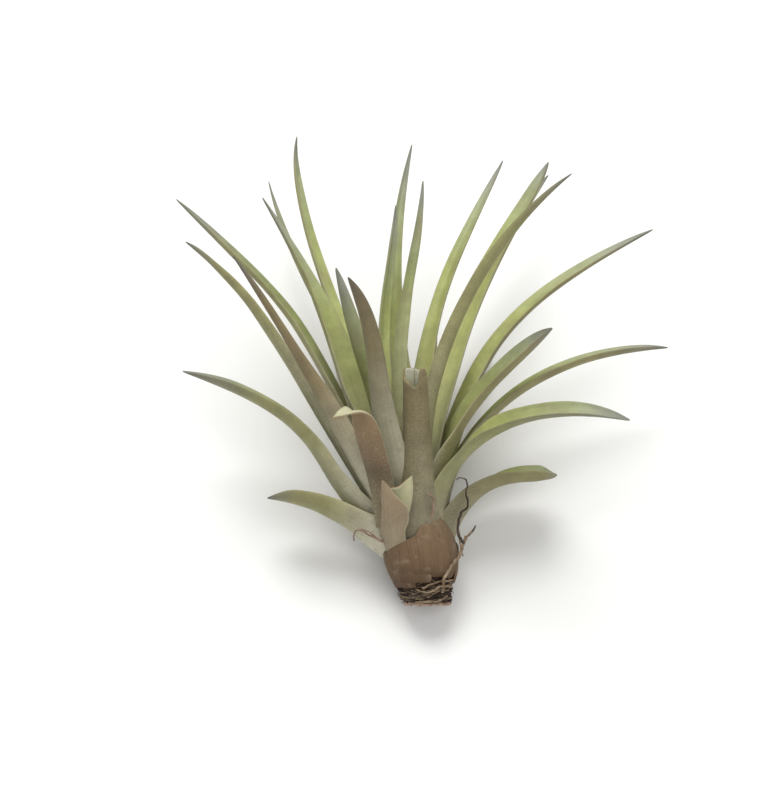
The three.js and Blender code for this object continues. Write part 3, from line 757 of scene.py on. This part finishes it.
def growLeaf(name, leaf):
    curve = leafCurve(leaf)
    seed = random.random() * 50
    cut = leaf.get("cut", 1)
    places = {}

    def alongAt(u, v):
        return v * (cut - profileAt(leaf["edge"], 2 * u - 1)) if "edge" in leaf else v * cut

    def placeAt(u, v):
        t = alongAt(u, v)
        key = round(t, 5)
        if key not in places:
            places[key] = sectionAt(leaf, curve, t)
        middle, side, inward, radius, halfAngle = places[key]
        angle = (2 * u - 1) * halfAngle
        wave = bladeProfile["wave"] * noise.noise(Vector((u * 2.6, t * 7, seed)))
        depth = radius - radius * math.cos(angle) + wave
        return middle + side * (radius * math.sin(angle)) + inward * depth

    def weightAt(u, v):
        return profileAt(bladeProfile["thickness"], v) * thinMargin(u, bladeProfile["marginThin"])

    columns = leaf.get("columns", bladeProfile["columns"])
    blade = shapeSheet(name + "_blade", columns, bladeProfile["rows"], placeAt)
    stops = [curvePoint(curve[:4], i / 20)[0] for i in range(21)]
    length = sum((stops[i + 1] - stops[i]).length for i in range(20))
    mapSheet(blade, leaf["width"] * bladeProfile["mapBreadth"], length, seed, alongAt)
    skinPair = (skins[leaf.get("skin", "outer")], skins[leaf.get("inside", "inner")])
    tones = (leaf["brown"], leaf.get("bright", 0.3), leaf.get("frost", 0.2))
    thickenSheet(blade, plant["leafThickness"], weightAt, skinPair, tones)
    handOver(blade, name)


for leafName, leafShape in leaves.items():
    growLeaf(leafName, leafShape)
print("leaves grown")

# The folded leaf lies between a left and a right margin, each with its places from foot to tip, and it
# bulges between these. Its map and its colours are those of the low part of a leaf, from the high brown
# ramp, whose dark band is painted shade where the bent-over flap lies over the lower part and whose
# lighter end is painted light on the top of the fold.
folded = {
    "left": [(0, (-7.7, 17.2, 6.8)), (0.1, (-8.2, 21.4, 8.8)), (0.2, (-9, 25.9, 10.8)),
             (0.32, (-10.2, 30.9, 13)), (0.42, (-11.3, 34.5, 14.6)), (0.52, (-12.2, 37.6, 16)),
             (0.62, (-12.9, 40.8, 17.2)), (0.7, (-13.2, 42.6, 17.6)), (0.78, (-13.6, 43.6, 17)),
             (0.86, (-14.5, 44.7, 17.2)), (0.93, (-16.2, 43.6, 18.2)), (1, (-17.3, 42.1, 19.5))],
    "right": [(0, (-1.8, 18.6, 7.8)), (0.1, (-2.7, 22.5, 10)), (0.2, (-3.5, 26.4, 12.2)),
              (0.32, (-4.3, 30.5, 14.6)), (0.42, (-5.4, 34.5, 16.6)), (0.52, (-6.4, 38.1, 18.4)),
              (0.62, (-7.3, 40.6, 19.8)), (0.7, (-8.8, 42.6, 20.8)), (0.78, (-11, 43.4, 21.4)),
              (0.86, (-13.2, 43.1, 21.6)), (0.93, (-15.2, 42.5, 21)), (1, (-17.3, 42, 19.5))],
    "bulge": [(0, (0, 0, 1.6)), (0.5, (0, 0, 1.5)), (0.62, (0, 0.4, 0.9)), (0.72, (0, 0.4, 0.2)),
              (0.82, (0, -0.5, -0.4)), (0.92, (0, -0.4, -0.3)), (1, (0, 0, 0))],
    "wavy": 0.35,  # mm
    "thickness": 0.8,
    "marginThin": 0.6,
    "grid": (16, 60),
    "map": (8, 70, 3),  # breadth, length and shift in mm
    "colours": (0.1, 0.28),  # where on the length of a leaf they start and how far they go
    "tones": (1, 0, 0),
}


def lineAt(line, place):
    return Vector([profileAt([(p, point[i]) for p, point in line], place) for i in range(3)])


def placeFolded(u, v):
    point = lineAt(folded["left"], v).lerp(lineAt(folded["right"], v), u)
    wave = noise.noise(Vector((u * 2.2, v * 9, 3.3))) * folded["wavy"]
    return point + lineAt(folded["bulge"], v) * math.sin(math.pi * u) + Vector((0, wave * v, wave))


def growTorn(name, shape, placeAt, outer):  # the folded leaf and the cut stub
    sheet = shapeSheet(name + "_blade", *shape["grid"], placeAt)
    begin, reach = shape["colours"]
    mapSheet(sheet, *shape["map"], lambda u, v: begin + v * reach)
    thickenSheet(sheet, shape["thickness"], lambda u, v: thinMargin(u, shape["marginThin"]),
                 (outer, skins["pale"]), shape["tones"])
    handOver(sheet, name)


growTorn("leaf_front_folded", folded, placeFolded, skins["brown"])

# The cut stub at the front is folded along a keel at its left, and its far half shows the pale inner
# face. Each line has its places from the foot to the torn edge.
stub = {
    "keel": [(0, (-3.8, 8.2, 1)), (0.2, (-5.4, 12.6, 4)), (0.4, (-6.7, 17, 7.4)), (0.7, (-6.8, 23, 10.8)),
             (1, (-6.5, 28.7, 13.4))],
    "near": [(0, (0.6, 8.2, 4)), (0.2, (-0.4, 12.6, 6.6)), (0.36, (-1.1, 16.4, 8.9)),
             (0.5, (-0.2, 19.2, 10.4)), (0.62, (-0.3, 21.4, 11.8)), (0.82, (-3.4, 25, 13.4)),
             (1, (-6.2, 28.6, 13.8))],
    "far": [(0, (-0.4, 8.2, 3.4)), (0.2, (-1.2, 12.6, 5.8)), (0.4, (-1.6, 17, 7.8)),
            (0.6, (0.1, 21.6, 10)), (0.8, (0.7, 25.9, 11.6)), (1, (0.5, 29.4, 13))],
    "dip": [(0, 0), (0.25, 2.3), (0.5, 2.5), (0.8, 1), (1, 0)],  # mm that the far half's torn edge sinks
    "bulge": 0.9,
    "farBulge": -0.3,  # of the near one
    "thickness": 0.7,
    "marginThin": 0.6,
    "grid": (28, 26),
    "map": (14, 60, 3),
    "colours": (0.05, 0.22),
    "tones": (0, 0.5, 0.15),
}


def placeStub(u, v):
    keel = lineAt(stub["keel"], v)
    share = abs(2 * u - 1)
    edge = lineAt(stub["near" if u > 0.5 else "far"], v)
    point = keel.lerp(edge, share)
    point.z += stub["bulge"] * math.sin(math.pi * share ** 0.7) * (1 if u > 0.5 else stub["farBulge"])
    if u < 0.5:
        point.y -= profileAt(stub["dip"], share) * v ** 4
    return point


growTorn("stub_front", stub, placeStub, skins["tan"])
print("folded leaf and cut stub made")

# The stem is one sheet of which the first rows make the cut face.
foot = {
    "outline": [(0, (0, 0.9)), (0.04, (2, 0.7)), (0.08, (4, 0.3)), (0.11, (4.8, -0.1)), (0.14, (5.1, 0.3)),
                (0.18, (5.4, 1.1)), (0.3, (5.9, 4.5)), (0.45, (6.2, 9)), (0.62, (6, 15)), (0.78, (5, 22)),
                (0.9, (3.4, 29)), (0.97, (1.4, 33.4)), (1, (0, 34))],  # radius and height, face to top
    "columns": 120,
    "rows": 110,
    "faceShare": 0.1,  # of the rows, up to the rim of the cut face
    "faceRipple": 0.3,  # mm, as the next two
    "grooves": 0.4,
    "knots": 0.35,
}


def placeStem(u, v):
    radius = profileAt([(p, point[0]) for p, point in foot["outline"]], v)
    height = profileAt([(p, point[1]) for p, point in foot["outline"]], v)
    turn = 2 * math.pi * (u % 1)
    inRound = Vector((math.cos(turn) * 3.2, math.sin(turn) * 3.2, height * 0.12))
    if v > foot["faceShare"] and radius > 0:
        radius += foot["grooves"] * noise.noise(Vector((inRound.x * 2.6, inRound.y * 2.6, height * 0.2)))
        radius += foot["knots"] * noise.noise(Vector((inRound.x * 0.8, inRound.y * 0.8, height * 0.5)))
    elif radius > 0:
        onFace = Vector((radius * math.cos(turn) * 1.4, radius * math.sin(turn) * 1.4, 4))
        height += foot["faceRipple"] * noise.noise(onFace)
    return stemCentre(height) + aroundStem(math.degrees(turn), radius, 0)


def closeSheet(sheet):  # joins the seam and the poles of a round one
    makeActive(sheet)
    bpy.ops.object.mode_set(mode="EDIT")
    bpy.ops.mesh.select_all(action="SELECT")
    bpy.ops.mesh.remove_doubles(threshold=0.000004)  # metres, far less than a face
    bpy.ops.mesh.normals_make_consistent(inside=False)
    bpy.ops.object.mode_set(mode="OBJECT")
    bpy.ops.object.shade_smooth()


stemCore = shapeSheet("stem_core", foot["columns"], foot["rows"], placeStem)
closeSheet(stemCore)
stemCore.data.materials.append(stemWood)
handOver(stemCore, "stem")

# The azimuth of a sheath goes from its foot to its tip, and span is half of its breadth, in degrees. left
# and right are the azimuths of its margins instead. gap is its distance from the stem.
sheaths = {
    "old_sheath_front": {
        "left": [(0, -62), (0.36, -62), (0.48, -50), (0.54, -26), (0.6, -4), (0.7, 3), (0.8, 13),
                 (0.9, 24), (1, 33)],
        "right": [(0, 98), (0.4, 94), (0.62, 80), (0.82, 58), (0.92, 45), (1, 35)],
        "foot": 5.8, "height": 16, "gap": [(0, 0.7), (0.16, 2.1), (0.5, 2.4), (1, 2)], "tone": 0.75,
    },
    "old_sheath_right": {
        "azimuth": (112, 104), "foot": 4.6, "height": 9, "span": 42,
        "gap": [(0, 0.8), (0.4, 2), (1, 3)], "tone": 0.6,
    },
    "old_sheath_left": {
        "azimuth": (-70, -76), "foot": 3.6, "height": 8.4, "span": 58,
        "gap": [(0, 0.6), (0.5, 1.5), (1, 1.9)], "tone": 0.5,
    },
    "old_sheath_back": {
        "azimuth": (190, 186), "foot": 3.6, "height": 8.6, "span": 50,
        "gap": [(0, 0.5), (0.5, 1.1), (1, 1.4)], "tone": 0.4,
    },
    "sheath_scrap_left_front": {
        "azimuth": (-28, -32), "foot": 4.8, "height": 7.6, "span": 44,
        "gap": [(0, 1), (0.5, 1.7), (1, 2)], "tone": 0.45,
    },
    "sheath_scrap_right_back": {
        "azimuth": (140, 148), "foot": 5.4, "height": 6, "span": 32,
        "gap": [(0, 0.8), (0.5, 1.4), (1, 2.2)], "tone": 0.35,
    },
    "sheath_scrap_left_back": {
        "azimuth": (-128, -134), "foot": 5, "height": 6.4, "span": 36,
        "gap": [(0, 0.8), (0.5, 1.4), (1, 2)], "tone": 0.4,
    },
    "sheath_scrap_front": {
        "left": [(0, -44), (1, -34)], "right": [(0, 40), (1, 30)], "foot": 8.4, "height": 12,
        "gap": [(0, 1), (0.5, 0.9), (1, 0.5)], "tone": 1,
    },
}
sheathShape = {
    "outline": [(0, 0.92), (0.25, 1), (0.5, 0.9), (0.75, 0.6), (0.92, 0.26), (1, 0.05)],
    "thickness": 0.5,
    "marginThin": 0.7,
    "grid": (22, 16),
    "ragged": 0.05,
    "torn": (0.12, 0.5),  # share of the height over which the foot is torn, and how far in mm
    "creased": 0.35,  # mm
    "mapRadius": 7,  # mm
}


def growSheath(name, sheath):
    seed = random.random() * 50
    tornShare, tornDepth = sheathShape["torn"]

    def placeAt(u, v):
        rag = 1 + sheathShape["ragged"] * noise.noise(Vector((u * 9, seed, v * 4)))
        height = sheath["foot"] + sheath["height"] * v * rag
        if v < tornShare:
            height += tornDepth * noise.noise(Vector((u * 7, seed, 0))) * (1 - v / tornShare)
        if "left" in sheath:
            angle = profileAt(sheath["left"], v) * (1 - u) + profileAt(sheath["right"], v) * u
        else:
            middle = sheath["azimuth"][0] + (sheath["azimuth"][1] - sheath["azimuth"][0]) * v
            angle = middle + (2 * u - 1) * sheath["span"] * profileAt(sheathShape["outline"], v) * rag
        crease = sheathShape["creased"] * noise.noise(Vector((angle * 0.07, height * 0.16, seed)))
        radius = profileAt(plant["stemProfile"], height) + profileAt(sheath["gap"], v) + crease
        return stemCentre(height) + aroundStem(angle, radius, 0)

    shell = shapeSheet(name + "_shell", *sheathShape["grid"], placeAt)
    real = shell.data.uv_layers.new(name="bladeMm")
    for loop in shell.data.loops:  # lengthwise streaks run up the stem, also where the sheath narrows
        place = tiltTurn.inverted() @ (shell.data.vertices[loop.vertex_index].co * 1000 - stemFoot)
        turn = math.atan2(place.x - stemCentre(place.y).x, place.z)
        real.data[loop.index].uv = (turn * sheathShape["mapRadius"] + seed, place.y + seed)
    thickenSheet(shell, sheathShape["thickness"], lambda u, v: thinMargin(u, sheathShape["marginThin"]),
                 (drySheathPaper, drySheathPaper), (sheath["tone"], sheath["tone"], 0))
    handOver(shell, name, "dry_sheath")


for sheathName, sheathData in sheaths.items():
    growSheath(sheathName, sheathData)

# a crumbly crust round the cut face
rim = {
    "height": 0.1,
    "radius": 4.7,
    "thick": 0.7,
    "around": 140,
    "ring": 12,
    "swell": 0.75,  # share of the thickness, to which lumps and crumbs add
    "lumps": 0.6,
    "crumbs": 0.5,
    "leastSwell": 0.25,
    "uneven": 0.35,  # mm
}
deselectAll()
bpy.ops.mesh.primitive_torus_add(major_segments=rim["around"], minor_segments=rim["ring"],
                                 major_radius=rim["radius"], minor_radius=rim["thick"])
crust = bpy.context.object
crust.name = crust.data.name = "foot_crust"
for vertex in crust.data.vertices:
    turn = math.atan2(vertex.co.x, vertex.co.y)
    onRing = Vector((math.sin(turn), math.cos(turn), 0)) * rim["radius"]
    lumps = rim["lumps"] * noise.noise(onRing * 0.8)
    crumbs = rim["crumbs"] * noise.noise(vertex.co * 1.9)
    shaped = onRing + (vertex.co - onRing) * max(rim["leastSwell"], rim["swell"] + lumps + crumbs)
    height = rim["height"] + shaped.z + rim["uneven"] * noise.noise(onRing * 0.5)
    vertex.co = laid(stemCentre(0) + Vector((shaped.x, height, shaped.y)))
    vertex.co.z = max(vertex.co.z, 0)  # not under the floor
closeSheet(crust)
crust.data.materials.append(rimCrust)
handOver(crust, "foot_crust", "stem_wood")

strandShape = {
    "steps": 8,  # between two of its points
    "wander": 0.35,  # in thicknesses
    "lumps": 0.25,
}


def drawStrands(name, strands, material):  # strands of thick, thin and points, all in mm
    strandName = name + "_strand" if name in slotOf else name
    curveData = bpy.data.curves.new(strandName, "CURVE")
    curveData.dimensions = "3D"
    curveData.bevel_depth = 0.001
    curveData.bevel_resolution = 2
    curveData.use_fill_caps = True
    for thick, thin, points in strands:
        ends = [points[0]] + list(points) + [points[-1]]
        smoothed = []
        for k in range(1, len(ends) - 2):
            a, b, c, d = [Vector(p) for p in ends[k - 1:k + 3]]
            for step in range(strandShape["steps"]):
                t = step / strandShape["steps"]
                smoothed.append(((b * 2) + (c - a) * t + (a * 2 - b * 5 + c * 4 - d) * t ** 2
                                 + (b * 3 - a - c * 3 + d) * t ** 3) / 2)
        smoothed.append(Vector(points[-1]))
        spline = curveData.splines.new("POLY")
        spline.points.add(len(smoothed) - 1)
        for k, place in enumerate(smoothed):
            share = k / (len(smoothed) - 1)
            sway = Vector((noise.noise(place * 0.9), noise.noise(place * 0.9 + Vector((9, 0, 0))), 0))
            spot = laid(place + sway * strandShape["wander"] * thick)
            spot.z = max(spot.z, thick / 1000)  # it lies on the floor, not under it
            spline.points[k].co = (*spot, 1)
            lumps = 1 + strandShape["lumps"] * noise.noise(place * 2.2)
            spline.points[k].radius = (thick + (thin - thick) * share) / 2 * lumps
    strand = bpy.data.objects.new(strandName, curveData)
    scene.collection.objects.link(strand)
    makeActive(strand)
    bpy.ops.object.convert(target="MESH")
    strand = bpy.context.object
    bpy.ops.object.shade_smooth()
    strand.data.materials.append(material)
    handOver(strand, name, "dry_root")


roots = {
    "root_forked": (dryRoot, [
        (0.85, 0.6, [(7.5, 2.6, 5.4), (7.6, 5.8, 6.2), (9.4, 8.6, 5.6), (11.2, 11.2, 4.8),
                     (12.2, 14, 4.4), (12.6, 15.4, 4.4)]),
        (0.6, 0.25, [(12.2, 14, 4.4), (13.4, 15.8, 4.2), (14.6, 16.8, 3.8)]),
        (0.5, 0.25, [(11.4, 14.4, 4.6), (11.5, 12.6, 4.6), (11.9, 10.8, 4.4)]),
    ]),
    "root_forked_dark": (darkRoot, [
        (0.8, 0.16, [(12.2, 13.6, 4.5), (11, 15.6, 4.5), (10.7, 17.6, 4.6), (11.4, 20, 4.8),
                     (12.9, 22.4, 5.4), (12.7, 25.4, 5.6), (12.9, 27.6, 5.6), (11.6, 28.6, 6.6),
                     (10.4, 28.2, 7.6)]),
        (0.6, 0.25, [(13.2, 15.4, 4.2), (14.4, 16.8, 3.8), (14.9, 17.8, 3.6)]),
    ]),
    "root_across": (dryRoot, [
        (0.6, 0.35, [(2.6, 3.6, 6.3), (5, 4.6, 6.8), (7.4, 5.2, 6.2), (9.6, 5.4, 5)]),
    ]),
    "root_slanting": (dryRoot, [
        (0.6, 0.3, [(9.4, 3.8, 4.6), (6.8, 4, 6.6), (4, 2.6, 7), (1.2, 3.4, 6.8)]),
    ]),
    "root_rim": (dryRoot, [
        (0.7, 0.4, [(1.2, 0.2, 5.2), (3.6, 0.5, 5.9), (6.2, 0.6, 5.6), (8.4, 1.8, 3.8)]),
    ]),
    "root_hook": (pinkRoot, [
        (0.6, 0.3, [(4.9, 19.6, 8.9), (5.1, 21.8, 9.4), (5.3, 23.6, 9.8), (4.7, 24.6, 10.2),
                    (3.7, 25, 10.2)]),
    ]),
    "root_left": (pinkRoot, [
        (0.55, 0.3, [(-5.6, 14, 5.8), (-8.4, 15.2, 6.4), (-11, 16.6, 6.2), (-12.4, 16.4, 5.4),
                     (-12.8, 14.4, 4.6)]),
        (0.35, 0.2, [(-7.2, 14.6, 6), (-9.4, 16.4, 6.8), (-11.6, 17.2, 6.4)]),
    ]),
    "root_back": (dryRoot, [
        (0.7, 0.35, [(-0.6, 1.4, -4.8), (-1.5, 4.2, -5.3), (-3.4, 7.8, -5.9), (-4.4, 10.6, -6.2)]),
    ]),
}
for rootName, (rootSkin, rootStrands) in roots.items():
    drawStrands(rootName, rootStrands, rootSkin)

fibres = {
    "count": 70,
    "length": (3, 9),
    "thick": (0.12, 0.32),
    "start": (0.2, 5.4),  # height on the stem
    "climb": (-0.25, 0.45),  # mm of height per mm of length
    "within": (0.1, 6.5),
    "radius": 6,  # of the turn round the stem
    "gap": 0.15,
    "ripple": 0.5,
    "lift": 0.1,  # from one point to the next
    "points": 5,
    "taper": 0.5,
}
for fibreName, fibreSkin in (("foot_fibres_dark", darkRoot), ("foot_fibres_tan", dryRoot)):
    fibreStrands = []
    for k in range(fibres["count"]):
        turn = random.uniform(0, 360)
        height = random.uniform(*fibres["start"])
        climb = random.uniform(*fibres["climb"])
        length = random.uniform(*fibres["length"])
        bend = random.choice((-1, 1))
        lowest, highest = fibres["within"]
        fibrePoints = []
        for step in range(fibres["points"]):
            along = length * step / (fibres["points"] - 1)
            high = min(max(height + climb * along, lowest), highest)
            ripple = fibres["ripple"] * noise.noise(Vector((k * 3.1, step * 0.7, 2)))
            reach = profileAt(plant["stemProfile"], high) + fibres["gap"] + ripple
            angle = turn + bend * math.degrees(along / fibres["radius"])
            fibrePoints.append(stemCentre(high) + aroundStem(angle, reach + fibres["lift"] * step, 0))
        thick = random.uniform(*fibres["thick"])
        fibreStrands.append((thick, thick * fibres["taper"], fibrePoints))
    drawStrands(fibreName, fibreStrands, fibreSkin)
print("stem, sheaths and roots made")

# The camera looks square on to the front of the standing plant.
photo = {
    "frameWide": 779,
    "frameHigh": 800,
    "pixelsPerMm": 4.4,
    "footAt": (410, 603),  # where the plant's zero lies in the frame
    "distance": 1000,  # mm
    "sensorHigh": 24,  # mm
    "clipEnd": 20,  # metres
}
viewHigh = photo["frameHigh"] / photo["pixelsPerMm"]
cameraPlace = Vector((
    (photo["frameWide"] / 2 - photo["footAt"][0]) / photo["pixelsPerMm"],
    (photo["footAt"][1] - photo["frameHigh"] / 2) / photo["pixelsPerMm"],
    photo["distance"],
))
cameraData = bpy.data.cameras.new("camera")
cameraData.sensor_fit = "VERTICAL"
cameraData.sensor_height = photo["sensorHigh"]
cameraData.lens = photo["sensorHigh"] * photo["distance"] / viewHigh
cameraData.clip_end = photo["clipEnd"]
camera = bpy.data.objects.new("camera", cameraData)
camera.location = laid(cameraPlace)
camera.rotation_euler = (lieAngle, 0, 0)
scene.collection.objects.link(camera)
scene.camera = camera

studio = {
    "floorSize": 6,  # metres
    "floorColour": "#f7f7f5",
    "floorRoughness": 0.9,
    "skyStrength": 0.42,
    "softboxes": {
        "keySoftbox": {"at": (-0.12, 0.55, 0.85), "size": 0.55, "power": 8.4},
        "fillSoftbox": {"at": (0.35, -0.5, 0.9), "size": 0.9, "power": 3.4},
    },
    "lightAt": (0, 0, 0.03),  # the place that the softboxes face
}
deselectAll()
bpy.ops.mesh.primitive_plane_add(size=studio["floorSize"])
floor = bpy.context.object
floor.name = "floor"
floorPaint, _, floorShader = newSurface("floorPaint")  # matt white board
floorShader.inputs["Base Color"].default_value = linear(studio["floorColour"])
floorShader.inputs["Roughness"].default_value = studio["floorRoughness"]
floor.data.materials.append(floorPaint)

world = bpy.data.worlds.new("softWhite")
scene.world = world
world.use_nodes = True
sky = world.node_tree.nodes["Background"]
sky.inputs["Color"].default_value = (1, 1, 1, 1)
sky.inputs["Strength"].default_value = studio["skyStrength"]
for lightName, light in studio["softboxes"].items():
    data = bpy.data.lights.new(lightName, "AREA")
    data.size = light["size"]
    data.energy = light["power"]
    lamp = bpy.data.objects.new(lightName, data)
    lamp.location = light["at"]
    towards = Vector(studio["lightAt"]) - lamp.location
    lamp.rotation_euler = towards.to_track_quat("-Z", "Y").to_euler()
    scene.collection.objects.link(lamp)
scene.view_settings.view_transform = "Standard"
print("camera, floor and lights placed")
